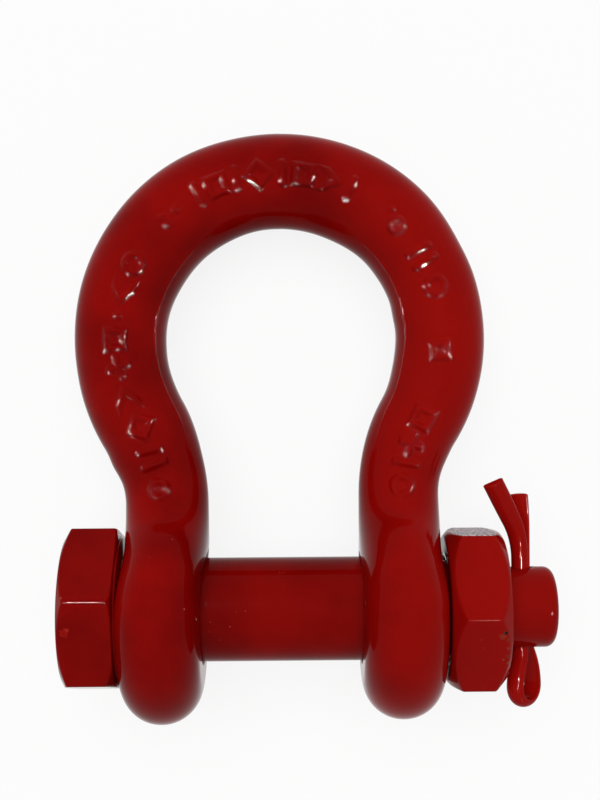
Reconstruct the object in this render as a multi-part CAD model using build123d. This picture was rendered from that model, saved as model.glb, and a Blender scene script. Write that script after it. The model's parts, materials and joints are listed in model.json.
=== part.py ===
from build123d import *
from math import asin, cos, degrees, radians, sin, sqrt
import os

# Bolt type anchor shackle, 3/4 in class, lying flat with its marked face up.
# Built in a flat frame: X along the bolt (head at -X, nut at +X), Y from the
# bolt to the crown, Z towards the marked face, zero on the bolt's axis midway
# between the ears. rest() then lays everything down on its ears and crown.
# All sizes in mm.

# Bow: one forging with both ears
jaw_width = 34.8            # between the ears' inner faces
ear_thickness = 17.6
ear_radius = 24.4
ear_rim = 8.7               # the rim is rounded over nearly the whole thickness
ear_drop_head = 0.3         # each ear sits a little off the hole, as forged
ear_drop_nut = -0.6
neck_radius = 14.0          # hollow between ear and leg, seen from the side
neck_squareness = 1.2       # how much fuller than an ellipse the neck's section is
root_sink = 1.5             # the leg's root narrows inside the ear
leg_x = 25.6                # centre line of each leg
leg_radius = 8.9
side_radius = 9.8           # bar at the bow's widest point
crown_radius = 10.4
crown_arc = 35.2            # centre line of the crown
crown_y = 59.1
sway_arc = 33.3             # centre line where the leg swings outwards
bore_clearance = 0.08

# Bolt
pin_radius = 11.2
head_flats = 33.5
head_height = 11.4
head_turn = -12.9           # how far the head is turned from a corner facing up
head_face = 0.75            # round bearing face under the head
head_face_radius = 15.8
head_chamfer_circle = 15.5
thread_radius = 10.4        # plain cylinder at the thread's mean radius
thread_end = 48.9
dog_radius = 8.7
dog_end = 59.6
dog_round = 1.4
end_chamfer_angle = 31.0

# Nut
nut_flats = 33.4
nut_start = 35.6
nut_end = 48.4
nut_chamfer_circle = 14.8
nut_clearance = 0.06
seat_gap = 0.05             # head's bearing face to the ear

# Cotter pin: half-round wire, doubled
cotter_x = 52.6
cotter_wire = 2.0           # radius of the half-round section
cotter_hole = 2.25
cotter_turn = 45.0          # split plane, turned from facing straight up
cotter_split = 0.06         # half the gap between the two legs
cotter_leg_top = 25.1
cotter_bend_y = 12.0
cotter_tip = (7.6, 27.2)    # end of the bent leg: sideways, up
cotter_eye = 2.3            # inside half width of the eye
cotter_eye_y = -17.6
cotter_flare_y = -9.4

# Derived places
ear_inner = jaw_width / 2
ear_outer = ear_inner + ear_thickness
ear_mid = ear_inner + ear_thickness / 2
crown_top = crown_y + crown_arc
sway_x = leg_x + sway_arc
sway_y = crown_y - sqrt((crown_arc + sway_arc) ** 2 - sway_x**2)
sway_angle = degrees(asin((crown_y - sway_y) / (crown_arc + sway_arc)))
neck_end = sqrt((ear_radius + neck_radius) ** 2 - (leg_radius + neck_radius) ** 2)
neck_start = neck_end * ear_radius / (ear_radius + neck_radius)
rest_tilt = degrees(asin((ear_radius - crown_radius) / crown_top))


def blend(start, end, share):
    """Eased value between two sizes, share from 0 to 1."""
    share = min(max(share, 0.0), 1.0)
    return start + (end - start) * (3 * share**2 - 2 * share**3)


def bar_radius(y):
    """Radius of the round bar at a height above the bolt."""
    if y < crown_y:
        return blend(leg_radius, side_radius, (y - sway_y) / (crown_y - sway_y))
    return blend(side_radius, crown_radius, (y - crown_y) / crown_arc)


def half_depth(y):
    """Half depth of leg and neck seen from the side, hollow arc at the neck."""
    if y < neck_start:
        return sqrt(ear_radius**2 - y**2) - root_sink * (neck_start - y) / neck_start
    if y < neck_end:
        return leg_radius + neck_radius - sqrt(neck_radius**2 - (neck_end - y) ** 2)
    return bar_radius(y)


def bow_section(x, y, lean):
    """Section of the bow across its centre line; lean is the line's angle from +Y."""
    thick = bar_radius(y)
    if y < neck_start:
        thick -= root_sink * (neck_start - y) / neck_start
    deep = half_depth(y)
    power = 2 + neck_squareness * min(1.0, max(0.0, (deep - thick) / thick))
    points = []
    for step in range(24):
        angle = radians(step * 15)
        across = abs(cos(angle)) ** (2 / power) * (1 if cos(angle) > 0 else -1)
        up = abs(sin(angle)) ** (2 / power) * (1 if sin(angle) > 0 else -1)
        points.append((thick * across, deep * up))
    edge = Spline(*points, periodic=True)
    lean_angle = radians(lean)
    place = Plane(
        origin=(x, y, 0),
        x_dir=(cos(lean_angle), -sin(lean_angle), 0),
        z_dir=(sin(lean_angle), cos(lean_angle), 0),
    )
    return place * make_face(edge)


def bow_stations():
    """Places along the right half of the centre line: x, y and lean."""
    stations = [(leg_x, y, 0.0) for y in (11.0, 14.0, 17.0, 20.0)]
    for step in range(5):
        angle = sway_angle * step / 4
        x = sway_x - sway_arc * cos(radians(angle))
        y = sway_y + sway_arc * sin(radians(angle))
        stations.append((x, y, angle))
    for step in range(1, 13):
        angle = -sway_angle + (90 + sway_angle) * step / 12
        x = crown_arc * cos(radians(angle))
        y = crown_y + crown_arc * sin(radians(angle))
        stations.append((x, y, -angle))
    return stations


def bow():
    right = bow_stations()
    left = [(-x, y, 180 - lean) for x, y, lean in reversed(right[:-1])]
    body = loft([bow_section(*place) for place in right + left])
    for side, drop in ((-1, ear_drop_head), (1, ear_drop_nut)):
        body += ear(side, drop)
    hole = Cylinder(pin_radius + bore_clearance, 2 * ear_outer + 20, rotation=(0, 90, 0))
    return body - hole


def ear(side, drop):
    disc = Cylinder(ear_radius, ear_thickness, rotation=(0, 90, 0))
    rims = disc.edges().filter_by(GeomType.CIRCLE)
    disc = fillet(rims, ear_rim)
    return Pos(side * ear_mid, -drop, 0) * disc


def along_bolt(radius, start, end):
    length = end - start
    return Pos(start + length / 2, 0, 0) * Cylinder(radius, length, rotation=(0, 90, 0))


def hexagon(flats, start, end, turn):
    outline = RegularPolygon(flats / sqrt(3), 6, rotation=30 + turn)
    place = Plane(origin=(start, 0, 0), x_dir=(0, 1, 0), z_dir=(1, 0, 0))
    return extrude(place * outline, end - start)


def corner_cone(circle, face, inward):
    """Blank that leaves a hexagon with bevelled corners at one end face."""
    reach = 30.0
    depth = (reach - circle) * sin(radians(end_chamfer_angle)) / cos(radians(end_chamfer_angle))
    cone = Cone(reach, circle, depth)
    tube = Cylinder(reach, 60)
    blank = Pos(0, 0, -depth / 2) * cone + Pos(0, 0, -depth - 30) * tube
    facing = Rot(0, 90 if inward < 0 else -90, 0)
    return Pos(face, 0, 0) * facing * blank


def bolt():
    head_start = -ear_outer - seat_gap - head_face - head_height
    head = hexagon(head_flats, head_start, head_start + head_height, head_turn)
    head &= corner_cone(head_chamfer_circle, head_start, 1)
    bearing = along_bolt(head_face_radius, head_start + head_height, -ear_outer - seat_gap)
    shank = along_bolt(pin_radius, head_start + head_height, ear_outer - 0.4)
    thread = along_bolt(thread_radius, ear_outer - 0.4, thread_end)
    dog = along_bolt(dog_radius, thread_end, dog_end)
    tip = dog.edges().filter_by(GeomType.CIRCLE).sort_by(Axis.X)[-1]
    dog = fillet(tip, dog_round)
    drilled = Pos(cotter_x, 0, 0) * Cylinder(cotter_hole, 4 * dog_radius, rotation=(90, 0, 0))
    return head + bearing + shank + thread + dog - drilled


def nut():
    body = hexagon(nut_flats, nut_start, nut_end, 0)
    body &= corner_cone(nut_chamfer_circle, nut_start, 1)
    body &= corner_cone(nut_chamfer_circle, nut_end, -1)
    return body - along_bolt(thread_radius + nut_clearance, nut_start - 1, nut_end + 1)


def cotter_pin():
    """Wire bent in its own plane: first axis across the split, second along +Y."""
    gap = cotter_split
    flare_mid = ((gap + cotter_eye) / 2, (cotter_flare_y + cotter_eye_y) / 2)
    with BuildLine() as route:
        bend = TangentArc((gap, cotter_bend_y), cotter_tip, tangent=(0, 1))
        Line((gap, cotter_bend_y), (gap, cotter_flare_y))
        out = TangentArc((gap, cotter_flare_y), flare_mid, tangent=(0, -1))
        TangentArc(flare_mid, (cotter_eye, cotter_eye_y), tangent=out % 1)
        ThreePointArc(
            (cotter_eye, cotter_eye_y),
            (0, cotter_eye_y - cotter_eye),
            (-cotter_eye, cotter_eye_y),
        )
        back = (-flare_mid[0], flare_mid[1])
        home = TangentArc((-cotter_eye, cotter_eye_y), back, tangent=(0, 1))
        TangentArc(back, (-gap, cotter_flare_y), tangent=home % 1)
        Line((-gap, cotter_flare_y), (-gap, cotter_leg_top))
    path = route.wires()[0]
    end = Plane(origin=(-gap, cotter_leg_top, 0), x_dir=(-1, 0, 0), z_dir=(0, -1, 0))
    half = make_face(
        Line((0, -cotter_wire), (0, cotter_wire))
        + ThreePointArc((0, cotter_wire), (cotter_wire, 0), (0, -cotter_wire))
    )
    wire = sweep(end * half, path=path)
    turn = radians(cotter_turn)
    across = (-sin(turn), 0, cos(turn))
    place = Plane(origin=(cotter_x, 0, 0), x_dir=across, z_dir=(-cos(turn), 0, -sin(turn)))
    return place * wire


def rest(piece, shift):
    """Lay a piece down on ears and crown, then move it to the part's own origin."""
    return shift * Rot(-rest_tilt, 0, 0) * piece


def main():
    pieces = {"bow": bow(), "bolt": bolt(), "nut": nut(), "cotter_pin": cotter_pin()}
    laid = [rest(piece, Pos(0, 0, 0)) for piece in pieces.values()]
    box = Compound(children=laid).bounding_box()
    shift = Pos(-box.center().X, -box.center().Y, -box.min.Z)
    os.makedirs("parts", exist_ok=True)
    for name, piece in pieces.items():
        export_step(rest(piece, shift), f"parts/{name}.step")
    place = shift.position
    print(f"tilt {rest_tilt:.5f} shift {place.X:.5f} {place.Y:.5f} {place.Z:.5f}")
    print(f"size {box.size.X:.3f} {box.size.Y:.3f} {box.size.Z:.3f}")


main()
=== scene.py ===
import json
import math
import bpy
import numpy as np
from mathutils import Matrix, Vector
from mathutils.kdtree import KDTree


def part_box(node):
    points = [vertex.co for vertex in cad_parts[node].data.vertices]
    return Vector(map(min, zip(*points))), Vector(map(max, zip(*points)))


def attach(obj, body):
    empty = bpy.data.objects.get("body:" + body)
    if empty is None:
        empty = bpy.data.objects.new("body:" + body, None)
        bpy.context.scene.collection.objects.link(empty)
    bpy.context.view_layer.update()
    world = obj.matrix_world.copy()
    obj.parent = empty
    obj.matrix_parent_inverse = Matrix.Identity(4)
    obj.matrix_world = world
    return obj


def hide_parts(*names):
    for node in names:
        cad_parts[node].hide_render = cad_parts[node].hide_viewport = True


# Bolt type anchor shackle in gloss red enamel, lying on its ears and crown.
# Shapes are worked out in millimetres in a flat frame: x along the bolt, y from
# the bolt to the crown, z towards the marked face. toRow() lays them down.

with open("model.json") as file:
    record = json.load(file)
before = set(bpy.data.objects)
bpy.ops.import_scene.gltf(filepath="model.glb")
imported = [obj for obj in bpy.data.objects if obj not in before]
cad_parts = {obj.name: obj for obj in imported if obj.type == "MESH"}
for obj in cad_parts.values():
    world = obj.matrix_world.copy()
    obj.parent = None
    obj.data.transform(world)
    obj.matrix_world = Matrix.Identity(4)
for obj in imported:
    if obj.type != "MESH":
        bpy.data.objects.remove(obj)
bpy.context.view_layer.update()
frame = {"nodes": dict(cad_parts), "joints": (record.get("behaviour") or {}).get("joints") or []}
print("frame loaded:", ", ".join(sorted(frame["nodes"])))

mm = 0.001


def toRow(points):
    # millimetres in the flat frame to metres in the row frame; layDown is set with the bow
    turn = np.array(layDown.to_3x3())
    return np.asarray(points, float) * mm @ turn.T + np.array(origin)


def eased(value, low, high):
    share = np.clip((value - low) / (high - low), 0, 1)
    return share * share * (3 - 2 * share)


# Meshes
def meshFromGrid(name, rings, closedAlong=False, capStart=None, capEnd=None):
    # rings of points joined by quads; a cap is a centre point in the flat frame
    rings = np.asarray(rings)
    count, around = rings.shape[:2]
    points = rings.reshape(-1, 3).tolist()
    rows = np.arange(count if closedAlong else count - 1)
    columns = np.arange(around)
    r0, c0 = [g.ravel() for g in np.meshgrid(rows, columns, indexing="ij")]
    r1 = (r0 + 1) % count
    c1 = (c0 + 1) % around
    faces = np.stack([r0 * around + c0, r0 * around + c1, r1 * around + c1, r1 * around + c0], 1).tolist()
    if capStart is not None:
        points.append(list(capStart))
        tip = len(points) - 1
        faces += [(tip, (c + 1) % around, c) for c in range(around)]
    if capEnd is not None:
        points.append(list(capEnd))
        tip = len(points) - 1
        last = (count - 1) * around
        faces += [(tip, last + c, last + (c + 1) % around) for c in range(around)]
    data = bpy.data.meshes.new(name)
    data.from_pydata(toRow(points).tolist(), [], faces)
    data.validate()
    data.shade_smooth()
    item = bpy.data.objects.new(name, data)
    bpy.context.scene.collection.objects.link(item)
    return item


def cutWith(item, tool):
    # exact cut; the tool goes away afterwards
    cut = item.modifiers.new("cut", "BOOLEAN")
    cut.operation = "DIFFERENCE"
    cut.solver = "EXACT"
    cut.object = tool
    graph = bpy.context.evaluated_depsgraph_get()
    result = bpy.data.meshes.new_from_object(item.evaluated_get(graph))
    item.modifiers.clear()
    old = item.data
    item.data = result
    bpy.data.meshes.remove(old)
    bpy.data.objects.remove(tool)


def lathe(name, profile, centre, along, count=96):
    # tool or piece turned about an axis through centre; profile is (distance along, radius)
    along = np.array(along, float)
    side = np.cross(along, (0.3, 0.5, 0.8))     # any direction that isn't along the axis
    side /= np.linalg.norm(side)
    up = np.cross(along, side)
    angles = np.linspace(0, 2 * np.pi, count, endpoint=False)
    circle = np.cos(angles)[:, None] * side + np.sin(angles)[:, None] * up
    centre = np.array(centre, float)
    rings = [centre + along * step + circle * radius for step, radius in profile]
    first, last = profile[0][0], profile[-1][0]
    return meshFromGrid(name, rings, capStart=centre + along * first, capEnd=centre + along * last)


# Bow
bow = {
    # millimetres and degrees; side -1 is the bolt head's, side 1 the nut's
    "earRadius": 24.39, "earRim": 8.7, "earHalf": 8.8,
    "earMid": {-1: 26.1, 1: 26.2}, "earCentreY": {-1: -0.3, 1: 0.45}, "neckHollow": 14.0,
    "legX": {-1: 25.2, 1: 25.9}, "legRadius": 8.9, "sideRadius": 9.8, "crownRadius": 10.4,
    "crownArc": 35.2, "crownY": 59.1, "swayArc": 33.3,
    "boreRadius": 11.6, "boreBevel": 0.7,
    # the inner face is a little flat between two soft creases
    "creaseAngle": 40.0, "creaseHeight": 0.2, "creaseWidth": 1.7, "innerFlat": 0.6,
    "creaseRise": (30.0, 42.0), "creaseFall": (80.0, 92.0), "creaseTop": 82.0, "creaseLeast": 0.05,
    "creaseBreaks": 0.35, "creaseEdge": 1.3,
    # heights between which one form eases into the next
    "earToLegX": (-6.0, 16.0), "earToLegWidth": (4.0, 22.0), "discToBar": (2.0, 15.0), "legTop": 22.0,
    "squareToRound": (0.0, 22.0), "squareness": 3.3, "roundness": 1.3,
    # how far this forging strays from the drawing: height, centre line outwards, radius
    "strays": {
        -1: [(2, 0, 0), (13, -0.1, 0.1), (20, -0.1, 0.15), (25, -0.05, 0.2), (29, 0.08, 0.3),
             (32, 0.35, 0.5), (35, 0.5, 0.78), (40, 0.18, 0.68), (46, 0.05, 0.52), (54, 0, 0.27),
             (84, 0, 0.28), (91, 0.04, 0.18), (95, -0.06, 0)],
        1: [(10, 0, 0), (18, -0.15, -0.1), (25, -0.15, -0.15), (30, -0.1, -0.1), (36, 0.1, 0.1),
            (44, 0, 0), (50, -0.15, 0.05), (60, 0, 0), (66, -0.1, 0.05), (71, 0.16, -0.25),
            (76, 0.12, -0.45), (83, 0.25, -0.2), (91, 0.04, 0.05), (95, -0.06, 0)],
    },
    "waviness": 0.07, "waveCount": 14, "waveRate": (0.05, 0.35), "waveSeed": 3,
    # how finely the skin is divided
    "stepAlong": 0.29, "rimStart": 86, "rimRings": 14, "legRings": 56, "boreSides": 160,
}

# where the flat frame lies in the row frame: on the bolt's own axis, leaning on ears and crown
boltJoint = next(j for j in frame["joints"] if j["name"] == "bolt_turn")
crownTop = bow["crownY"] + bow["crownArc"]
restTilt = math.asin((bow["earRadius"] - bow["crownRadius"]) / crownTop)
bowLow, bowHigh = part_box("bow")
origin = Vector(((bowLow.x + bowHigh.x) / 2, boltJoint["pos_m"][1], boltJoint["pos_m"][2]))
layDown = Matrix.Translation(origin) @ Matrix.Rotation(-restTilt, 4, "X")


def bowStations(side):
    # centre line of one half, from the ear's bottom to the crown's top; columns are
    # x, y, lean from +y (radians), distance from the crown's top
    reach = bow["earRadius"] - bow["earRim"]
    earY = bow["earCentreY"][side]
    earMid = bow["earMid"][side]
    legX = bow["legX"][side]
    swayX = legX + bow["swayArc"]
    swayY = bow["crownY"] - math.sqrt((bow["crownArc"] + bow["swayArc"]) ** 2 - swayX**2)
    swayAngle = math.acos(swayX / (bow["crownArc"] + bow["swayArc"]))
    rim = np.radians(np.linspace(bow["rimStart"], 0, bow["rimRings"]))
    ys = list(earY - reach - bow["earRim"] * np.sin(rim))
    ys += list(np.linspace(earY - reach, swayY, bow["legRings"])[1:-1])
    rows = []
    for y in ys:
        share = float(eased(np.array(y), *bow["earToLegX"]))
        rows.append((earMid + (legX - earMid) * share, y, 0.0, y))
    steps = int(bow["swayArc"] * swayAngle / bow["stepAlong"])
    for angle in np.linspace(0, swayAngle, steps):
        x = swayX - bow["swayArc"] * math.cos(angle)
        y = swayY + bow["swayArc"] * math.sin(angle)
        rows.append((x, y, angle, swayY + bow["swayArc"] * angle))
    bend = swayY + bow["swayArc"] * swayAngle
    sweep = math.pi / 2 + swayAngle
    steps = int(bow["crownArc"] * sweep / bow["stepAlong"])
    for angle in np.linspace(0, sweep, steps)[1:]:
        place = angle - swayAngle
        x = bow["crownArc"] * math.cos(place)
        y = bow["crownY"] + bow["crownArc"] * math.sin(place)
        rows.append((x, y, -place, bend + bow["crownArc"] * angle))
    rows = np.array(rows)
    rows[:, 3] = rows[-1, 3] - rows[:, 3]
    return rows


def bowAngles():
    # closest together under the marks (90 degrees), widest at the back
    # and close again at the creases beside the inner face
    marksFrom, marksStep = 0.55, 1.1
    sideFrom, sideStep = 20.35, 2.4
    creaseFrom, creaseStep = 45.6, 0.75
    backFrom, backCount = 53.85, 29
    half = [marksFrom + marksStep * k for k in range(19)]
    half += [sideFrom + sideStep * k for k in range(1, 11)]
    half += [creaseFrom + creaseStep * k for k in range(12)]
    half = np.array(half + list(np.linspace(backFrom, 180, backCount)[1:-1]))
    return np.radians(np.concatenate([90 - half[::-1], 90 + half, [270]]))


def strayAt(y, side, column):
    # smooth curve through the measured strays
    table = np.array(bow["strays"][side])
    lowest, highest, blur, perMm = -30, 100, 3, 10
    fine = np.linspace(lowest, highest, (highest - lowest) * perMm + 1)
    values = np.interp(fine, table[:, 0], table[:, column])
    window = np.hanning(2 * blur * perMm + 1)
    padded = np.pad(values, blur * perMm, mode="edge")
    return np.interp(y, fine, np.convolve(padded, window / window.sum(), mode="valid"))


def barRadius(y):
    lower = bow["legRadius"] + (bow["sideRadius"] - bow["legRadius"]) * eased(y, bow["legTop"], bow["crownY"])
    rise = (bow["crownRadius"] - bow["sideRadius"]) * eased(y, bow["crownY"], crownTop)
    return lower + rise


def halfDepth(y):
    # ear's reach towards the camera: disc, hollow, then the bar
    radius, hollow, leg = bow["earRadius"], bow["neckHollow"], bow["legRadius"]
    hollowZ = leg + hollow
    hollowY = math.sqrt((radius + hollow) ** 2 - hollowZ**2)
    meetY = hollowY * radius / (radius + hollow)
    disc = np.sqrt(np.maximum(radius**2 - y**2, 0))
    neck = hollowZ - np.sqrt(np.maximum(hollow**2 - np.minimum(hollowY - y, hollow) ** 2, 0))
    return np.where(y < meetY, disc, np.where(y < hollowY, neck, leg)) + barRadius(y) - leg


def earRadii(offset, y, angles):
    # distance from the centre line to the ear's rounded disc, by halving
    rim = bow["earRim"]
    across, up = np.cos(angles), np.sin(angles)
    nearest, farthest, halvings = 0.01, 34.0, 34
    low = np.full(np.broadcast(offset, angles).shape, nearest)
    high = np.full_like(low, farthest)
    for _ in range(halvings):
        middle = (low + high) / 2
        flat = np.abs(offset + middle * across) - (bow["earHalf"] - rim)
        edge = np.hypot(y, middle * up) - bow["earRadius"] + rim
        gap = np.hypot(np.maximum(flat, 0), np.maximum(edge, 0)) + np.minimum(np.maximum(flat, edge), 0)
        low = np.where(gap < rim, middle, low)
        high = np.where(gap < rim, high, middle)
    return (low + high) / 2


# Raised marks in plain shapes. Each is kind, distance along the centre line from the
# crown's top (mm, left negative), offset outwards, size, turn.
marks = {
    "height": 0.84, "halfWidth": 0.6, "softness": 0.44, "roughEdge": 0.065,
    "heightSpread": (0.78, 1.0), "wear": 0.12, "least": 0.004, "room": 5,
    "waveCount": 9, "waveRate": (1.2, 4.2), "waveSlant": (-3.5, 3.5), "waveStart": (0, 6.28), "seed": 11,
    "list": [
        ("ring", -89.2, 0.6, 1.7, 0), ("bar", -83.8, 0.2, 2.3, 97), ("bar", -80.6, 0.2, 2.3, 84),
        ("diamond", -75.0, 0.0, 2.0, 0), ("chevron", -67.4, 0.2, 2.2, 180), ("cross", -61.4, 0.0, 2.1, 8),
        ("square", -55.4, 0.2, 1.8, 0), ("dot", -50.4, 0.0, 0.7, 0), ("chevron", -46.2, 0.0, 2.1, 0),
        ("ring", -38.6, 0.0, 1.9, 0),
        ("dot", -27.2, 0.9, 0.6, 0), ("dot", -27.6, -1.0, 0.6, 0), ("dot", -24.0, 0.2, 0.8, 0),
        ("bar", -18.0, 0.0, 2.2, 90), ("square", -13.6, 0.0, 1.8, 0), ("bar", -9.2, 0.0, 2.2, 86),
        ("diamond", -4.4, 0.0, 2.0, 0), ("bar", 0.8, 0.0, 2.2, 94), ("square", 5.2, 0.0, 1.8, 0),
        ("chevron", 11.8, 0.0, 2.2, 180), ("bar", 15.8, 0.0, 2.2, 90),
        ("dot", 25.4, 1.2, 0.6, 0), ("ring", 28.6, -0.6, 1.3, 0),
        ("bar", 35.6, 0.0, 2.4, 84), ("bar", 38.6, 0.0, 2.4, 96), ("ring", 44.2, 0.0, 1.9, 0),
        ("square", 58.4, -0.6, 1.4, 12),
        ("square", 73.6, 0.0, 1.8, 0), ("cross", 79.6, 0.0, 2.1, 0), ("bar", 83.8, 0.0, 2.3, 90),
        ("ring", 88.6, 0.0, 1.9, 0),
    ],
}


def markHeight(along, out):
    # height over the bar; the edges are uneven and softened by the paint
    total = np.zeros_like(along)
    rng = np.random.default_rng(marks["seed"])
    rough = np.zeros_like(along)
    for _ in range(marks["waveCount"]):
        rate = rng.uniform(*marks["waveRate"])
        slant = rng.uniform(*marks["waveSlant"])
        phase = rng.uniform(*marks["waveStart"])
        rough += np.sin(along * rate + out * slant + phase) / marks["waveCount"] ** 0.5
    for kind, place, offset, size, turn in marks["list"]:
        strength = marks["height"] * rng.uniform(*marks["heightSpread"])
        near = (np.abs(along - place) < marks["room"]) & (np.abs(out - offset) < marks["room"])
        du = along[near] - place
        dv = out[near] - offset
        angle = math.radians(turn)
        u = du * math.cos(angle) + dv * math.sin(angle)
        v = -du * math.sin(angle) + dv * math.cos(angle)
        width = marks["halfWidth"]
        if kind == "dot":
            distance = np.hypot(u, v) - size
        elif kind == "bar":
            distance = np.hypot(np.maximum(np.abs(u) - size, 0), v) - width
        elif kind == "ring":
            distance = np.abs(np.hypot(u, v) - size) - width
        elif kind == "square":
            distance = np.abs(np.maximum(np.abs(u), np.abs(v)) - size) - width
        elif kind == "cross":
            arm = np.minimum(np.abs(u), np.abs(v))
            reach = np.maximum(np.maximum(np.abs(u), np.abs(v)) - size, 0)
            distance = np.hypot(reach, arm) - width
        elif kind == "chevron":
            distance = np.abs(np.abs(v) * 0.8 - u * 0.6 - size * 0.2) - width
            distance = np.maximum(distance, np.abs(v) - size - 0.3)
            distance = np.maximum(distance, -u - size)
        else:
            distance = np.abs((np.abs(u) + np.abs(v)) * 0.72 - size * 0.9) - width
        distance = distance + rough[near] * marks["roughEdge"]
        soft = marks["softness"]
        worn = 1 + marks["wear"] * rough[near]
        slope = np.clip((soft - distance) / (2 * soft), 0, 1)
        total[near] = np.maximum(total[near], strength * worn * slope)
    return total


def waves(along, angle, side):
    # slight unevenness that a hammered and painted forging has
    rng = np.random.default_rng(bow["waveSeed"])
    total = np.zeros_like(along)
    for _ in range(bow["waveCount"]):
        rate = rng.uniform(*bow["waveRate"])
        turns = rng.integers(0, 4)
        total += np.sin(along * side * rate + turns * angle + rng.uniform(0, 6.28)) / bow["waveCount"] ** 0.5
    return total * bow["waviness"]


def halfBow(side):
    stations = bowStations(side)
    grid = np.broadcast_to(bowAngles(), (len(stations), len(bowAngles())))
    x, y, lean, along = [stations[:, i][:, None] for i in range(4)]
    fromEar = y - bow["earCentreY"][side]
    # bar and neck: round at the top, deeper and squarer towards the ear
    extra = strayAt(y, side, 2)
    present = eased(y, *bow["creaseRise"]) * (1 - eased(y, *bow["creaseFall"]))
    relief = bow["innerFlat"] * present
    widening = (barRadius(y) - bow["earHalf"]) * eased(y, *bow["earToLegWidth"])
    wide = bow["earHalf"] + widening + extra + relief / 2
    deep = halfDepth(fromEar) + extra + relief / 2
    power = bow["squareness"] - bow["roundness"] * eased(y, *bow["squareToRound"])
    ratio = (np.abs(np.cos(grid)) / wide) ** power + (np.abs(np.sin(grid)) / deep) ** power
    bar = ratio ** (-1 / power)
    # flat inner face and its creases
    inner = np.degrees(np.abs(np.angle(np.exp(1j * (grid - np.pi)))))
    within = np.clip(inner / bow["creaseAngle"], 0, 1)
    bar = bar - relief * np.cos(within * np.pi / 2)
    away = (inner - bow["creaseAngle"]) / bow["creaseWidth"]
    full = np.broadcast_to(along, grid.shape)
    broken = 1 + bow["creaseBreaks"] * np.sin(full * 1.3 + side) * np.sin(full * 0.37 + 1)
    crease = bow["creaseHeight"] * present * broken * np.exp(-np.abs(away) ** bow["creaseEdge"])
    raised = markHeight(side * full, (math.pi / 2 - grid) * bar)
    detail = (raised > marks["least"]) | ((crease > bow["creaseLeast"]) & (y < bow["creaseTop"]))
    radius = bar + crease + raised + waves(full, grid, side)
    share = eased(y, *bow["discToBar"])
    radius = earRadii(x - bow["earMid"][side], fromEar, grid) * (1 - share) + radius * share
    out = radius * np.cos(grid) + strayAt(y, side, 1) - relief / 2
    x = side * (x + out * np.cos(lean))
    y = y - out * np.sin(lean)
    return np.stack([x, y, radius * np.sin(grid)], -1), detail


def splitFaces(item, name, marked):
    # faces whose corners are all marked become a piece of their own, shaded as before
    data = item.data
    faces = [tuple(p.vertices) for p in data.polygons]
    points = [tuple(v.co) for v in data.vertices]
    normals = [tuple(v.normal) for v in data.vertices]
    inside = [all(marked[v] for v in face) for face in faces]
    parts = []
    for wanted, title in ((False, item.name), (True, name)):
        chosen = [face for face, flag in zip(faces, inside) if flag == wanted]
        used = sorted({v for face in chosen for v in face})
        number = {v: k for k, v in enumerate(used)}
        part = bpy.data.meshes.new(title)
        part.from_pydata([points[v] for v in used], [], [[number[v] for v in face] for face in chosen])
        part.shade_smooth()
        part.normals_split_custom_set_from_vertices([normals[v] for v in used])
        parts.append(part)
    item.data = parts[0]
    bpy.data.meshes.remove(data)
    other = bpy.data.objects.new(name, parts[1])
    bpy.context.scene.collection.objects.link(other)
    return other


def makeBow():
    left, leftDetail = halfBow(-1)
    right, rightDetail = halfBow(1)
    rings = np.concatenate([left, right[:-1][::-1]])
    detail = np.concatenate([leftDetail, rightDetail[:-1][::-1]])
    ends = []
    for side in (-1, 1):
        bottom = bow["earCentreY"][side] - bow["earRadius"]
        ends.append((side * bow["earMid"][side], bottom, 0.0))
    item = meshFromGrid("painted_bow", rings, capStart=ends[0], capEnd=ends[1])
    radius, bevel = bow["boreRadius"], bow["boreBevel"]
    clear = 2
    for side in (-1, 1):
        inner = bow["earMid"][side] - bow["earHalf"]
        outer = bow["earMid"][side] + bow["earHalf"]
        profile = [
            (-outer - clear, radius + bevel + clear), (-outer + bevel, radius),
            (-inner - bevel, radius), (-inner + clear, radius + bevel + clear),
        ]
        tool = lathe("bore_tool", profile, (0, 0, 0), (-side, 0, 0), bow["boreSides"])
        cutWith(item, tool)
    tree = KDTree(int(detail.sum()))
    for number, point in enumerate(toRow(rings[detail])):
        tree.insert(point, number)
    tree.balance()
    sameSpot = 1e-7
    marked = [tree.find(v.co)[2] < sameSpot for v in item.data.vertices]
    return item, splitFaces(item, "painted_relief", marked)


bowPiece, reliefPiece = makeBow()
print("bow:", len(bowPiece.data.polygons), "faces and", len(reliefPiece.data.polygons), "in relief")


# Bolt and nut: turned profiles, clipped by a hexagon with rounded corners
bolt = {
    "pinRadius": 11.3, "shankEnd": 34.6, "paintRidge": 0.015, "ridgePlace": 15.8, "ridgeWidth": 0.28,
    "headFlats": 33.5, "headTop": -47.2, "headUnder": -35.4, "headTurn": -12.9,
    "headChamferCircle": 16.1, "headChamferAngle": 30.0,
    "underChamferCircle": 17.9, "underChamferAngle": 38.0, "underChamferShift": 0.9,
    "bearingRadius": 15.8, "bearingFace": -34.93,
    "threadPitch": 2.82, "threadCrest": 10.4, "threadRoot": 9.6, "threadEnd": 48.9,
    # the dog is the plain end past the thread
    "dogRadius": 8.8, "dogEnd": 59.58, "dogRound": 2.1,
    "edgeRadius": 0.5, "headDish": 0.12, "dishFrom": 5, "dishTo": 9, "threadSlope": (0.12, 0.88),
    "cotterX": 52.6, "cotterHole": 2.25, "holeBevel": 0.55, "holeSides": 64,
    # rings along the shank, both chamfers, the head's side and the end; step along the thread
    "shankRings": 260, "topRings": 22, "underRings": 16, "sideRings": 12, "endRings": 20, "threadStep": 0.2,
}


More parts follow.
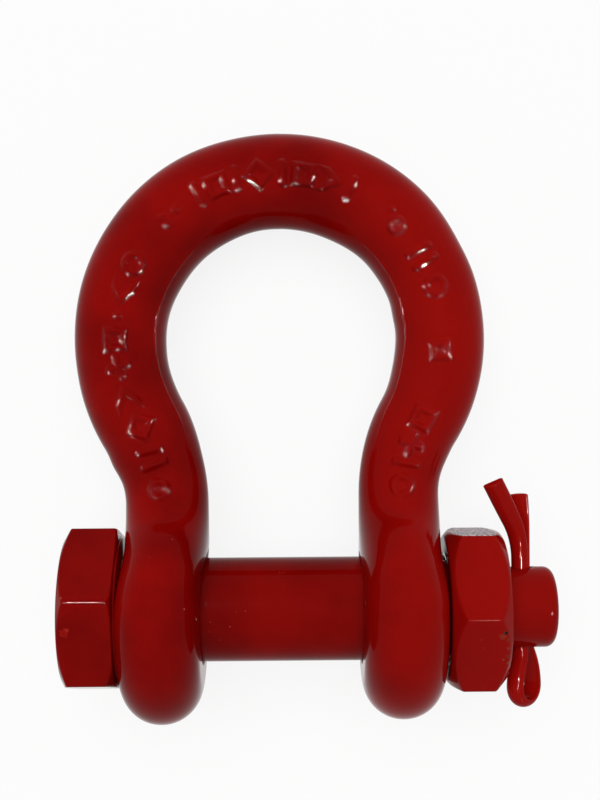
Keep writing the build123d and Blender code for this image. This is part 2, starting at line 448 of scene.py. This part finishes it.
def hexAngles():
    # angles with extra points at the six corners
    near = [0, 0.5, 1.0, 1.5, 2.1, 3.2, 5.5, 9.0, 13.0, 17.5, 22.0, 26.0]
    sector = sorted({-v for v in near} | set(near) | {30.0})
    return np.radians(np.array([60 * k + v for k in range(6) for v in sector]))


def hexRadius(angles, flats, corner):
    # distance to a hexagon's side at each angle from a corner
    fold = np.abs(np.angle(np.exp(1j * 6 * angles))) / 6
    apothem = flats / 2
    hub = (apothem - corner) / math.cos(math.pi / 6)
    flat = apothem / np.cos(math.pi / 6 - fold)
    inside = np.maximum(corner**2 - (hub * np.sin(fold)) ** 2, 0)
    arc = hub * np.cos(fold) + np.sqrt(inside)
    tangent = math.pi / 6 - math.atan2((apothem - corner) * math.tan(math.pi / 6), apothem)
    return np.where(fold < tangent, arc, flat)


def softMin(a, b, width):
    share = np.clip(0.5 + (b - a) / (2 * width), 0, 1)
    return a * share + b * (1 - share) - width * share * (1 - share)


def turnedRings(profile, angles, turn, flats=None, corner=0.6, soft=0.45):
    # rings about the bolt's axis from (x, radius, clipped, thread) rows
    rings = []
    hexagon = hexRadius(angles, flats, corner) if flats else None
    place = angles + math.radians(turn)
    for x, radius, clipped, thread in profile:
        r = np.full_like(angles, radius)
        if clipped:
            r = softMin(r - clipped[0] * np.sin(place), hexagon, soft)
        if thread:
            root, crest = thread
            wave = np.abs(((x / bolt["threadPitch"] - place / (2 * math.pi)) % 1) * 2 - 1)
            r = root + (crest - root) * eased(wave, *bolt["threadSlope"])
        rings.append(np.stack([np.full_like(r, x), -r * np.sin(place), r * np.cos(place)], 1))
    return rings


def roundedCorner(start, end, count):
    # quarter arc from (x, radius) start to end, leaving start along x
    steps = np.radians(np.linspace(0, 90, count))
    (x0, r0), (x1, r1) = start, end
    return [(x0 + (x1 - x0) * math.sin(a), r1 + (r0 - r1) * math.cos(a)) for a in steps]


def chamferRows(face, circle, angle, corner, inward, count, shift=0.0):
    # rows of a cone that clips the hexagon's corners, out from the face's circle
    slope = math.tan(math.radians(angle)) * inward
    reach = np.linspace(circle + 0.2, corner + 0.8 + abs(shift), count)
    return [(face + (r - circle) * slope, r, (shift,), None) for r in reach]


def makeBolt():
    b = bolt
    top, under, seat = b["headTop"], b["headUnder"], b["bearingFace"]
    corner = b["headFlats"] / math.sqrt(3)
    circle = b["headChamferCircle"]
    dish, dishFrom, dishTo = b["headDish"], b["dishFrom"], b["dishTo"]
    rows = [(top + dish, r, 0, None) for r in (1.5, 3, dishFrom)]
    for r in range(dishFrom + 1, dishTo + 1):
        rows.append((top + dish - dish * float(eased(np.array(r), dishFrom, dishTo)), r, 0, None))
    rows += [(top, r, 0, None) for r in np.linspace(10, circle - 0.4, 7)]
    rows += [(top + 0.05, circle - 0.1, 0, None)]
    rows += chamferRows(top, circle, b["headChamferAngle"], corner, 1, b["topRings"])
    lower = chamferRows(under, b["underChamferCircle"], b["underChamferAngle"], corner, -1, b["underRings"],
                        b["underChamferShift"])[::-1]
    far, near = rows[-1][0], lower[0][0]
    rows += [(x, corner + 3, (0.0,), None) for x in np.linspace(far + 0.2, near - 0.15, b["sideRings"])]
    rows += lower
    bearing = b["bearingRadius"]
    rows += [(under, bearing + 0.3, (0.0,), None), (under + 0.05, bearing + 0.06, 0, None)]
    rows += [(under + 0.2, bearing, 0, None), (seat - 0.15, bearing, 0, None)]
    outerEdge = roundedCorner((seat - 0.15, bearing), (seat, bearing - 0.15), 4)
    rows += [(x, r, 0, None) for x, r in outerEdge[1:]]
    rows += [(seat, b["pinRadius"] + 0.02, 0, None)]
    for x in np.linspace(seat + 0.05, b["shankEnd"] - 0.4, b["shankRings"]):
        away = (abs(x) - b["ridgePlace"]) / b["ridgeWidth"]
        ridge = b["paintRidge"] * math.exp(-(away ** 2))
        rows += [(x, b["pinRadius"] + ridge, 0, None)]
    rows += [(b["shankEnd"], b["pinRadius"] - 0.4, 0, None)]
    thread = (b["threadRoot"], b["threadCrest"])
    rows += [(x, 0, 0, thread) for x in np.arange(b["shankEnd"] + 0.3, b["threadEnd"] - 0.6, b["threadStep"])]
    rows += [(b["threadEnd"] - 0.3, b["threadRoot"] + 0.1, 0, None)]
    rows += [(b["threadEnd"], b["threadRoot"] - 0.3, 0, None)]
    rows += [(b["threadEnd"], b["dogRadius"] + 0.25, 0, None)]
    rows += [(b["threadEnd"] + 0.08, b["dogRadius"] + 0.07, 0, None)]
    bend = b["dogEnd"] - b["dogRound"]
    rows += [(x, b["dogRadius"], 0, None) for x in np.linspace(b["threadEnd"] + 0.3, bend, b["endRings"])]
    endEdge = roundedCorner((bend, b["dogRadius"]), (b["dogEnd"], b["dogRadius"] - b["dogRound"]), 9)
    rows += [(x, r, 0, None) for x, r in endEdge[1:]]
    rows += [(b["dogEnd"], r, 0, None) for r in (6.2, 5, 3.8, 2.6)]
    # the small centre hole that the bolt was turned on
    rows += [(b["dogEnd"] - 0.1, 2.0, 0, None), (b["dogEnd"] - 1.0, 1.1, 0, None)]
    rings = turnedRings(rows, hexAngles(), b["headTurn"], b["headFlats"], b["edgeRadius"])
    item = meshFromGrid("painted_bolt", rings, capStart=(top + dish, 0, 0), capEnd=(b["dogEnd"] - 1.3, 0, 0))
    hole, reach, bevel = b["cotterHole"], b["dogRadius"], b["holeBevel"]
    profile = [(-reach - 2, hole + 3), (-reach + bevel, hole), (reach - bevel, hole), (reach + 2, hole + 3)]
    cutWith(item, lathe("hole_tool", profile, (b["cotterX"], 0, 0), (0, 1, 0), b["holeSides"]))
    return item


boltPiece = makeBolt()
print("bolt:", len(boltPiece.data.polygons), "faces")


nut = {
    "flats": 33.4, "start": 35.6, "end": 48.4, "chamferCircle": 15.7, "chamferAngle": 39.0,
    "threadCrest": 10.47, "threadRoot": 11.25, "edgeRadius": 0.7,
    "boreBevel": 0.35, "chamferRings": 24, "sideRings": 12, "threadStep": 0.2,
}


def makeNut():
    n = nut
    corner = n["flats"] / math.sqrt(3)
    ring, start, end = n["chamferCircle"], n["start"], n["end"]
    bevel = n["threadRoot"] + n["boreBevel"]
    rows = [(start, r, 0, None) for r in np.linspace(bevel, ring - 0.4, 6)]
    rows += [(start + 0.05, ring - 0.1, 0, None)]
    rows += chamferRows(start, ring, n["chamferAngle"], corner, 1, n["chamferRings"])
    far = chamferRows(end, ring, n["chamferAngle"], corner, -1, n["chamferRings"])[::-1]
    flats = np.linspace(rows[-1][0] + 0.15, far[0][0] - 0.15, n["sideRings"])
    rows += [(x, corner + 3, (0.0,), None) for x in flats]
    rows += far + [(end - 0.05, ring - 0.1, 0, None)]
    rows += [(end, r, 0, None) for r in np.linspace(ring - 0.4, bevel, 6)]
    rows += [(end - n["boreBevel"], n["threadRoot"], 0, None)]
    thread = (n["threadRoot"], n["threadCrest"])
    rows += [(x, 0, 0, thread) for x in np.arange(end - 0.7, start + 0.6, -n["threadStep"])]
    rows += [(start + n["boreBevel"], n["threadRoot"], 0, None)]
    rings = turnedRings(rows, hexAngles(), 0, n["flats"], n["edgeRadius"])
    return meshFromGrid("painted_nut", rings, closedAlong=True)


nutPiece = makeNut()
print("nut:", len(nutPiece.data.polygons), "faces")


# Cotter pin: half-round wire along a doubled path in its own plane
cotter = {
    "wireRadius": 2.0, "edgeRound": 0.35, "turn": 45.0, "split": 0.06,
    "bendStart": 10.5, "bendRadius": 14.0, "bendAngle": 38.5, "tipY": 27.8, "tipTwist": -40.0,
    "rearTop": 24.4, "rearLean": 0.9, "rearTwist": 30.0,
    "eyeFront": 2.1, "eyeRear": 3.75, "eyeY": -17.4, "frontFlare": -9.0, "rearFlare": -7.4, "flattened": 0.14,
    "eyeSpread": 0.08, "eyeSpreadOver": (8.0, 13.0), "step": 0.35, "flarePoints": 26,
    # how both cut ends are rounded: share of the section left, mm further out
    "endRound": [(0.985, 0.12), (0.93, 0.24), (0.82, 0.33), (0.6, 0.38), (0.3, 0.4)],
}


def arcBetween(start, end, tangent, step):
    # points of the arc from start to end that leaves start along tangent
    start, end = np.array(start, float), np.array(end, float)
    tangent = np.array(tangent, float) / np.linalg.norm(tangent)
    normal = np.array([-tangent[1], tangent[0]])
    chord = end - start
    bulge = chord @ normal
    if abs(bulge) < 1e-9:
        count = max(int(np.linalg.norm(chord) / step), 2)
        return [start + chord * s for s in np.linspace(0, 1, count)]
    radius = chord @ chord / (2 * bulge)
    middle = start + normal * radius
    swept = 2 * math.atan2(bulge, chord @ tangent)
    count = max(int(abs(radius * swept) / step), 4)
    points = []
    for a in np.linspace(0, swept, count):
        turn = np.array([[math.cos(a), -math.sin(a)], [math.sin(a), math.cos(a)]])
        points.append(middle + turn @ (start - middle))
    return points


def cotterRoute():
    # path from the bent leg's tip round the eye to the rear leg's tip
    c = cotter
    gap, step = c["split"], c["step"]
    bend = math.radians(c["bendAngle"])
    start = np.array([gap, c["bendStart"]])
    bent = start + c["bendRadius"] * np.array([1 - math.cos(bend), math.sin(bend)])
    tip = bent + (c["tipY"] - bent[1]) * np.array([math.tan(bend), 1])
    front = arcBetween(start, bent, (0, 1), step)
    front = (front + arcBetween(bent, tip, tip - bent, step)[1:])[::-1]
    front += arcBetween(start, (gap, c["frontFlare"]), (0, -1), step)[1:]
    share = np.linspace(0, 1, c["flarePoints"])[1:]
    height = c["frontFlare"] + (c["eyeY"] - c["frontFlare"]) * share
    front += list(np.stack([gap + (c["eyeFront"] - gap) * eased(share, 0, 1), height], 1))
    front += arcBetween((c["eyeFront"], c["eyeY"]), (-c["eyeRear"], c["eyeY"]), (0, -1), step)[1:]
    height = c["rearFlare"] + (c["eyeY"] - c["rearFlare"]) * share
    rear = list(np.stack([-gap - (c["eyeRear"] - gap) * (1 - (1 - share) ** 2), height], 1)[::-1])
    rear += arcBetween((-gap, c["rearFlare"]), (-gap, c["bendStart"]), (0, 1), step)
    rear += arcBetween((-gap, c["bendStart"]), (c["rearLean"] - gap, c["rearTop"]), (0, 1), step)[1:]
    return np.array(front + rear[1:])


def makeCotter():
    c = cotter
    path = cotterRoute()
    heading = np.gradient(path, axis=0)
    heading /= np.linalg.norm(heading, axis=1)[:, None]
    outward = np.stack([-heading[:, 1], heading[:, 0]], 1)
    # half-round section: flat on the inside of the loop, arc outside, edges rounded
    radius, edge = c["wireRadius"], c["edgeRound"]
    corner = np.radians(np.linspace(-90, 0, 5))
    right = [(edge + edge * math.sin(a), radius - edge + edge * math.cos(a)) for a in corner]
    arc = np.radians(np.linspace(75, -75, 17))
    section = [(radius * math.cos(a), radius * math.sin(a)) for a in arc]
    left = [(out, -wide) for out, wide in right[::-1]]
    flat = [(0, wide) for wide in np.linspace(-(radius - edge), radius - edge, 6)[1:-1]]
    section = np.array(right[:-1] + section + left[1:] + flat)
    turn = math.radians(c["turn"])
    split = np.array([-math.sin(turn), 0, math.cos(turn)])
    axisY = np.array([0, 1, 0])
    # both legs were twisted towards the front when they were bent
    index = np.arange(len(path))
    ends = eased(path[:, 1], c["bendStart"] - 2, c["rearTop"])
    twist = np.radians(np.where(index < len(path) / 2, c["tipTwist"], c["rearTwist"]) * ends)
    rings = []
    for (u, v), (hu, hv), (ou, ov), tw, end in zip(path, heading, outward, twist, ends):
        centre = np.array([bolt["cotterX"], 0, 0]) + split * u + axisY * v
        away = split * ou + axisY * ov
        tangent = split * hu + axisY * hv
        across = np.cross(tangent, away)
        first = away * math.cos(tw) + across * math.sin(tw)
        second = -away * math.sin(tw) + across * math.cos(tw)
        spread = 1 + c["flattened"] * end + c["eyeSpread"] * float(eased(np.array(-v), *c["eyeSpreadOver"]))
        rings.append([centre + first * out / spread + second * wide * spread for out, wide in section])
    rings = np.array(rings)
    caps = []
    for index in (0, -1):
        middle = rings[index].mean(0)
        direction = rings[index].mean(0) - rings[1 if index == 0 else -2].mean(0)
        direction /= np.linalg.norm(direction)
        ends = [middle + (rings[index] - middle) * scale + direction * out
                for scale, out in c["endRound"]]
        caps.append((ends, middle + direction * c["endRound"][-1][1]))
    rings = np.concatenate([np.array(caps[0][0])[::-1], rings, np.array(caps[1][0])])
    return meshFromGrid("painted_cotter", rings[:, ::-1], capStart=caps[0][1], capEnd=caps[1][1])


cotterPiece = makeCotter()
print("cotter pin:", len(cotterPiece.data.polygons), "faces")


# Camera: the photograph's place and lens, solved from the shackle's outline
camera = {
    "place": (2.363, 41.972, 286.924),      # mm in the flat frame
    "turns": (-0.786, 0.376, 0.434),        # degrees about x, y, z
    "focalPixels": 1300.0, "imageHeight": 800.0, "sensor": 36.0,
}


def makeCamera():
    data = bpy.data.cameras.new("camera")
    data.sensor_width = camera["sensor"]
    data.lens = camera["focalPixels"] / camera["imageHeight"] * camera["sensor"]
    data.clip_start = 0.01
    data.clip_end = 50
    item = bpy.data.objects.new("camera", data)
    bpy.context.scene.collection.objects.link(item)
    turnX, turnY, turnZ = [math.radians(v) for v in camera["turns"]]
    look = (
        Matrix.Rotation(turnZ, 4, "Z") @ Matrix.Rotation(turnY, 4, "Y") @ Matrix.Rotation(turnX, 4, "X")
    ).transposed()
    item.matrix_world = layDown @ Matrix.Translation(Vector(camera["place"]) * mm) @ look
    bpy.context.scene.camera = item


makeCamera()
print("camera set")


# Materials
def linear(hexColour):
    # sRGB hex to linear RGBA
    values = [int(hexColour[i:i + 2], 16) / 255 for i in (1, 3, 5)]
    return [v / 12.92 if v <= 0.04045 else ((v + 0.055) / 1.055) ** 2.4 for v in values] + [1]


def addNode(tree, kind, inputs=(), **settings):
    # adds a node; inputs maps a socket's name or number to a value or another socket
    item = tree.nodes.new(kind)
    for key, value in settings.items():
        setattr(item, key, value)
    for key, value in dict(inputs).items():
        if isinstance(value, bpy.types.NodeSocket):
            tree.links.new(value, item.inputs[key])
        else:
            item.inputs[key].default_value = value
    return item


def newMaterial(name):
    material = bpy.data.materials.new(name)
    material.use_nodes = True
    material.node_tree.nodes.clear()
    return material


# Gloss alkyd enamel, sprayed thick over forged steel: deep red and wet looking, with
# a faint orange peel that makes reflections waver, and painted light: the red turns lighter towards the nut.
# Such enamel has an IOR of about 1.46; the lower one keeps the white surround from paling the red.
enamel = {
    "red": "#890603", "deepRed": "#740302", "paintedLightRed": "#960b06",
    "roughness": 0.07, "ior": 1.1,
    "peelSize": 1.3, "peelDepth": 0.006, "nibSpacing": 1.6, "nibSize": 0.16, "nibShare": 0.16,
    # painted light: the red turns lighter from x 0 to 40 mm, towards the nut
    "cloudSize": 16.0, "paintedLightFrom": 0.0, "paintedLightTo": 40.0, "paintedLightMost": 0.8,
}


def softClouds(tree, place, low, high, size, detail=3.0):
    noise = addNode(tree, "ShaderNodeTexNoise", {
        "Vector": place, "Scale": 1 / (size * mm), "Detail": detail})
    span = addNode(tree, "ShaderNodeMapRange", {0: noise.outputs["Fac"], 1: 0.35, 2: 0.65})
    mix = addNode(tree, "ShaderNodeMix", {
        "Factor": span.outputs[0], "A": low, "B": high}, data_type="RGBA")
    return mix.outputs["Result"]


def enamelParts(tree, paintedShade):
    place = addNode(tree, "ShaderNodeTexCoord").outputs["Object"]
    # paintedShade scales the red down: painted shade, a darker copy of the same enamel
    red, deepRed, paintedLightRed = [
        [paintedShade * v for v in linear(enamel[key])[:3]] + [1] for key in ("red", "deepRed", "paintedLightRed")]
    clouds = softClouds(tree, place, red, deepRed, enamel["cloudSize"])
    parts = addNode(tree, "ShaderNodeSeparateXYZ", {0: place})
    # painted light: mixes the red towards the lighter red along x, up to the nut
    paintedLightTowardsNut = addNode(tree, "ShaderNodeMapRange", {
        0: parts.outputs["X"], 1: enamel["paintedLightFrom"] * mm, 2: enamel["paintedLightTo"] * mm,
        4: enamel["paintedLightMost"]})
    colour = addNode(tree, "ShaderNodeMix", {
        "Factor": paintedLightTowardsNut.outputs[0], "A": clouds, "B": paintedLightRed}, data_type="RGBA")
    peel = addNode(tree, "ShaderNodeTexNoise", {
        "Vector": place, "Scale": 1 / (enamel["peelSize"] * mm), "Detail": 2, "Roughness": 0.4})
    bump = addNode(tree, "ShaderNodeBump", {
        "Height": peel.outputs["Fac"], "Strength": 1.0, "Distance": enamel["peelDepth"] * mm})
    cells = addNode(tree, "ShaderNodeTexVoronoi", {
        "Vector": place, "Scale": 1 / (enamel["nibSpacing"] * mm), "Randomness": 1.0})
    chance = addNode(tree, "ShaderNodeSeparateXYZ", {0: cells.outputs["Color"]})
    share = enamel["nibSize"] / enamel["nibSpacing"]
    size = addNode(tree, "ShaderNodeMapRange", {
        0: chance.outputs["X"], 1: 1 - enamel["nibShare"], 2: 1.0, 3: 0.0, 4: share})
    nib = addNode(tree, "ShaderNodeMath", {
        0: size.outputs[0], 1: cells.outputs["Distance"]}, operation="SUBTRACT")
    nib = addNode(tree, "ShaderNodeMath", {0: nib.outputs[0], 1: 0.0}, operation="MAXIMUM")
    nibBump = addNode(tree, "ShaderNodeBump", {
        "Height": nib.outputs[0], "Strength": 1.0, "Distance": enamel["nibSpacing"] * mm,
        "Normal": bump.outputs["Normal"]})
    return colour.outputs["Result"], nibBump.outputs["Normal"]


def flatPlace(tree):
    # coordinates in the flat frame, in millimetres
    place = addNode(tree, "ShaderNodeTexCoord").outputs["Object"]
    back = layDown.inverted()
    return addNode(tree, "ShaderNodeMapping", {
        "Vector": place, "Location": back.translation / mm,
        "Rotation": back.to_euler(), "Scale": (1 / mm,) * 3}).outputs["Vector"]


def nearSpot(tree, place, centre, radius, ragged=0.5):
    # 1 inside a spot with a ragged edge, 0 outside
    away = addNode(tree, "ShaderNodeVectorMath", {0: place, 1: centre}, operation="DISTANCE")
    noise = addNode(tree, "ShaderNodeTexNoise", {"Vector": place, "Scale": 1.6 / radius, "Detail": 2})
    rough = addNode(tree, "ShaderNodeMath", {
        0: noise.outputs["Fac"], 1: 2 * radius * ragged, 2: away.outputs["Value"]}, operation="MULTIPLY_ADD")
    span = addNode(tree, "ShaderNodeMapRange", {
        0: rough.outputs[0], 1: radius * (1.06 + ragged), 2: radius * (0.94 + ragged)})
    return span.outputs[0]


def overlay(tree, mask, low, high, kind="RGBA"):
    mix = addNode(tree, "ShaderNodeMix", {"Factor": mask, "A": low, "B": high}, data_type=kind)
    return mix.outputs["Result"]


def glossEnamel(name, spots=(), bareFacetAndPaintedReflection=None, paintedShade=1.0):
    material = newMaterial(name)
    tree = material.node_tree
    colour, normal = enamelParts(tree, paintedShade)
    roughness = enamel["roughness"]
    if spots or bareFacetAndPaintedReflection:
        flat = flatPlace(tree)
    if bareFacetAndPaintedReflection:
        mask, steelAndPaintedReflection = bareSteelAndPaintedReflection(tree, flat, bareFacetAndPaintedReflection)
        colour = overlay(tree, mask, colour, steelAndPaintedReflection)
        roughness = overlay(tree, mask, roughness, bareFacetAndPaintedReflection["roughness"], "FLOAT")
    for centre, radius, tone, rough, ragged in spots:
        mask = nearSpot(tree, flat, centre, radius, ragged)
        colour = overlay(tree, mask, colour, linear(tone))
        roughness = overlay(tree, mask, roughness, rough, "FLOAT")
    shader = addNode(tree, "ShaderNodeBsdfPrincipled", {
        "Base Color": colour, "Roughness": roughness, "IOR": enamel["ior"], "Normal": normal})
    addNode(tree, "ShaderNodeOutputMaterial", {"Surface": shader.outputs["BSDF"]})
    return material


# The nut's facet towards the crown lost its paint: blasted steel, speckled and dull; its near-white speckle
# is partly painted reflection.
bareFacetAndPaintedReflection = {
    # light and dark speckle; the near-white light colour is partly painted reflection of the bright surround
    "light": "#f2ecf0", "dark": "#867e80", "grain": 0.6, "roughness": 0.5,
    "height": 16.5, "start": 36.9, "end": 46.3, "ragged": 1.1, "grainSpan": (0.42, 0.6),
}


def bareSteelAndPaintedReflection(tree, flat, values):
    parts = addNode(tree, "ShaderNodeSeparateXYZ", {0: flat})
    noise = addNode(tree, "ShaderNodeTexNoise", {"Vector": flat, "Scale": 0.9, "Detail": 3})
    shift = addNode(tree, "ShaderNodeMath", {
        0: noise.outputs["Fac"], 1: 2 * values["ragged"], 2: parts.outputs["X"]}, operation="MULTIPLY_ADD")
    middle = (values["start"] + values["end"]) / 2 + values["ragged"]
    away = addNode(tree, "ShaderNodeMath", {0: shift.outputs[0], 1: middle}, operation="SUBTRACT")
    away = addNode(tree, "ShaderNodeMath", {0: away.outputs[0]}, operation="ABSOLUTE")
    half = (values["end"] - values["start"]) / 2
    along = addNode(tree, "ShaderNodeMapRange", {0: away.outputs[0], 1: half + 0.15, 2: half - 0.15})
    high = addNode(tree, "ShaderNodeMapRange", {
        0: parts.outputs["Y"], 1: values["height"], 2: values["height"] + 0.1})
    mask = addNode(tree, "ShaderNodeMath", {0: along.outputs[0], 1: high.outputs[0]}, operation="MULTIPLY")
    grain = addNode(tree, "ShaderNodeTexNoise", {
        "Vector": flat, "Scale": 1 / values["grain"], "Detail": 4, "Roughness": 0.7})
    span = addNode(tree, "ShaderNodeMapRange", {
        0: grain.outputs["Fac"], 1: values["grainSpan"][0], 2: values["grainSpan"][1]})
    return mask.outputs[0], overlay(tree, span.outputs[0], linear(values["dark"]), linear(values["light"]))


# Knocks: place (mm, flat frame), radius, colour, roughness, raggedness
nutKnocks = [
    ((45.9, -3.6, 17.4), 0.86, "#8c2a1e", 0.2, 0.9), ((46.5, -2.9, 17.6), 0.62, "#62281c", 0.3, 0.5),
    ((46.6, -2.9, 17.6), 0.34, "#240604", 0.3, 0.3),
    ((47.0, -4.6, 16.6), 0.36, "#7c2c20", 0.14, 0.9), ((47.2, -6.4, 15.5), 0.32, "#843526", 0.14, 0.9),
    ((47.4, -8.2, 14.5), 0.44, "#78281c", 0.14, 0.9), ((47.5, -9.8, 13.5), 0.36, "#86382a", 0.14, 0.9),
    ((46.4, -9.0, 14.0), 0.24, "#8c3c2e", 0.14, 0.9), ((41.4, -4.4, 16.8), 0.34, "#9a160f", 0.1, 1.2),
    ((42.0, -6.4, 15.6), 0.30, "#9a160f", 0.1, 1.2),
]
headKnocks = [
    ((-45.1, -2.2, 16.9), 1.0, "#8c100b", 0.1, 1.0), ((-44.5, -1.6, 17.0), 0.42, "#982018", 0.12, 0.9),
    ((-45.6, 5.2, 18.1), 0.2, "#a05a4c", 0.16, 0.8),
    ((-15.1, -1.1, 11.2), 0.12, "#a23a30", 0.2, 0.6), ((-11.0, -2.1, 11.1), 0.13, "#a83e34", 0.2, 0.6),
    ((-9.7, 1.0, 11.2), 0.1, "#9c332a", 0.2, 0.6), ((-15.6, -3.2, 10.9), 0.1, "#9c332a", 0.2, 0.6),
    ((-7.7, 1.2, 11.2), 0.12, "#a03830", 0.2, 0.6), ((-0.5, 8.7, 7.1), 0.14, "#a83e34", 0.2, 0.6),
    ((0.3, 8.7, 7.1), 0.12, "#a23a30", 0.2, 0.6), ((-13.2, -5.1, 10.1), 0.12, "#983028", 0.2, 0.6),
]
bowSpecks = [
    ((-19.8, 3.2, 21.5), 0.18, "#b04c42", 0.2, 0.6), ((-22.6, 17.0, 16.8), 0.14, "#a03a30", 0.2, 0.6),
    ((-27.0, 13.6, 20.0), 0.12, "#98342a", 0.2, 0.6), ((24.0, -3.0, 23.4), 0.12, "#98342a", 0.2, 0.6),
]
plainPaint = glossEnamel("gloss_red_enamel")
bowPaint = glossEnamel("gloss_red_enamel_with_dust_specks", bowSpecks)
# the bolt's and nut's enamel are darker copies of the same red: painted shade
boltPaint = glossEnamel("gloss_red_enamel_scuffed_with_painted_shade", headKnocks, paintedShade=0.88)
nutPaint = glossEnamel("gloss_red_enamel_chipped_to_blasted_steel", nutKnocks, bareFacetAndPaintedReflection, paintedShade=0.96)
for piece, body, node, paint in (
    (bowPiece, "bow", "bow", bowPaint), (reliefPiece, "bow", "bow", plainPaint),
    (boltPiece, "bolt", "bolt", boltPaint), (nutPiece, "nut", "nut", nutPaint),
    (cotterPiece, "bolt", "cotter_pin", plainPaint),
):
    piece.data.materials.clear()
    piece.data.materials.append(paint)
    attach(piece, body)
    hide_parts(node)
print("materials set")


# Floor and light
studio = {
    "floorSize": 6.0, "floorColour": "#f4f4f4", "paperWhite": 0.86,
    "keyStrength": 2.15, "keyAngle": 50.0, "keyFrom": (-0.08, 0.42, 1.0), "fill": 0.32,
    # small lamps for the glints: place in the flat frame, width, height (mm), power (W)
    "glintTint": (1.0, 0.9, 0.84),
    "reliefGlints": [
        ((0, -600, 120), 110, 110, 40.0), ((420, -420, 130), 110, 110, 40.0),
        ((-420, -420, 130), 110, 110, 40.0), ((620, 60, 150), 36, 700, 28.0),
        ((-620, 60, 150), 36, 700, 28.0),
    ],
    "boltGlints": [((-135, 190, 560), 44, 44, 13.0), ((330, -124, 480), 70, 170, 11.0)],
    "cotterGlints": [
        ((142, -243, 495), 50, 50, 5.5), ((-20, -112, 545), 50, 80, 6.5),
        ((103, -52, 556), 60, 60, 10.5), ((70, 62, 555), 110, 44, 15.0),
        ((300, -520, 230), 40, 40, 8.5),
    ],
    "nutGlints": [((121, -60, 560), 20, 20, 1.0)],
}


def seesBackground(tree):
    # 1 for the camera's rays and for what is mirrored or seen through, 0 for light on the object
    rays = addNode(tree, "ShaderNodeLightPath")
    seen = addNode(tree, "ShaderNodeMath", {
        0: rays.outputs["Is Camera Ray"], 1: rays.outputs["Is Glossy Ray"]}, operation="ADD")
    return addNode(tree, "ShaderNodeMath", {
        0: seen.outputs[0], 1: rays.outputs["Is Transmission Ray"]},
        operation="ADD", use_clamp=True).outputs[0]


def makeFloor():
    half = studio["floorSize"] / 2
    corners = [(-half, -half, 0), (half, -half, 0), (half, half, 0), (-half, half, 0)]
    data = bpy.data.meshes.new("floor")
    data.from_pydata(corners, [], [(0, 1, 2, 3)])
    floor = bpy.data.objects.new("floor", data)
    bpy.context.scene.collection.objects.link(floor)
    material = newMaterial("matte_white_paper")
    tree = material.node_tree
    diffuse = addNode(tree, "ShaderNodeBsdfDiffuse", {"Color": linear(studio["floorColour"])})
    glow = addNode(tree, "ShaderNodeEmission", {"Color": (1, 1, 1, 1), "Strength": 1.0})
    share = addNode(tree, "ShaderNodeMath", {
        0: seesBackground(tree), 1: studio["paperWhite"]}, operation="MULTIPLY")
    mix = addNode(tree, "ShaderNodeMixShader", {
        0: share.outputs[0], 1: diffuse.outputs[0], 2: glow.outputs[0]})
    addNode(tree, "ShaderNodeOutputMaterial", {"Surface": mix.outputs[0]})
    floor.data.materials.append(material)


def makeWorld():
    world = bpy.data.worlds.new("studio")
    bpy.context.scene.world = world
    world.use_nodes = True
    tree = world.node_tree
    tree.nodes.clear()
    fill = studio["fill"]
    colour = overlay(tree, seesBackground(tree), (fill, fill, fill, 1), (1, 1, 1, 1))
    back = addNode(tree, "ShaderNodeBackground", {"Color": colour, "Strength": 1.0})
    addNode(tree, "ShaderNodeOutputWorld", {"Surface": back.outputs[0]})


def makeLamp(name, kind, place, target, **settings):
    data = bpy.data.lights.new(name, kind)
    for key, value in settings.items():
        setattr(data, key, value)
    item = bpy.data.objects.new(name, data)
    bpy.context.scene.collection.objects.link(item)
    item.location = place
    item.rotation_mode = "QUATERNION"
    item.rotation_quaternion = (Vector(target) - Vector(place)).to_track_quat("-Z", "Y")
    item.visible_camera = False
    return item


def makeLights():
    key = makeLamp("key", "SUN", studio["keyFrom"], (0, 0, 0),
                   energy=studio["keyStrength"], angle=math.radians(studio["keyAngle"]))
    key.visible_glossy = False
    # the broad bar shows no glints, so each of these lamps lights only the gloss of one piece
    groups = [
        ("relief", studio["reliefGlints"], [reliefPiece]),
        ("bolt", studio["boltGlints"], [boltPiece]),
        ("cotter", studio["cotterGlints"], [cotterPiece]),
        ("nut", studio["nutGlints"], [nutPiece]),
    ]
    for title, places, pieces in groups:
        lit = bpy.data.collections.new(title)
        for piece in pieces:
            lit.objects.link(piece)
        for number, (place, width, height, power) in enumerate(places):
            lamp = makeLamp(f"{title}_{number}", "AREA", toRow([place])[0], origin, energy=power,
                            color=studio["glintTint"], shape="ELLIPSE", size=width * mm, size_y=height * mm)
            lamp.visible_diffuse = False
            lamp.light_linking.receiver_collection = lit


makeFloor()
makeWorld()
makeLights()
bpy.context.scene.view_settings.view_transform = "Standard"
print("studio set")
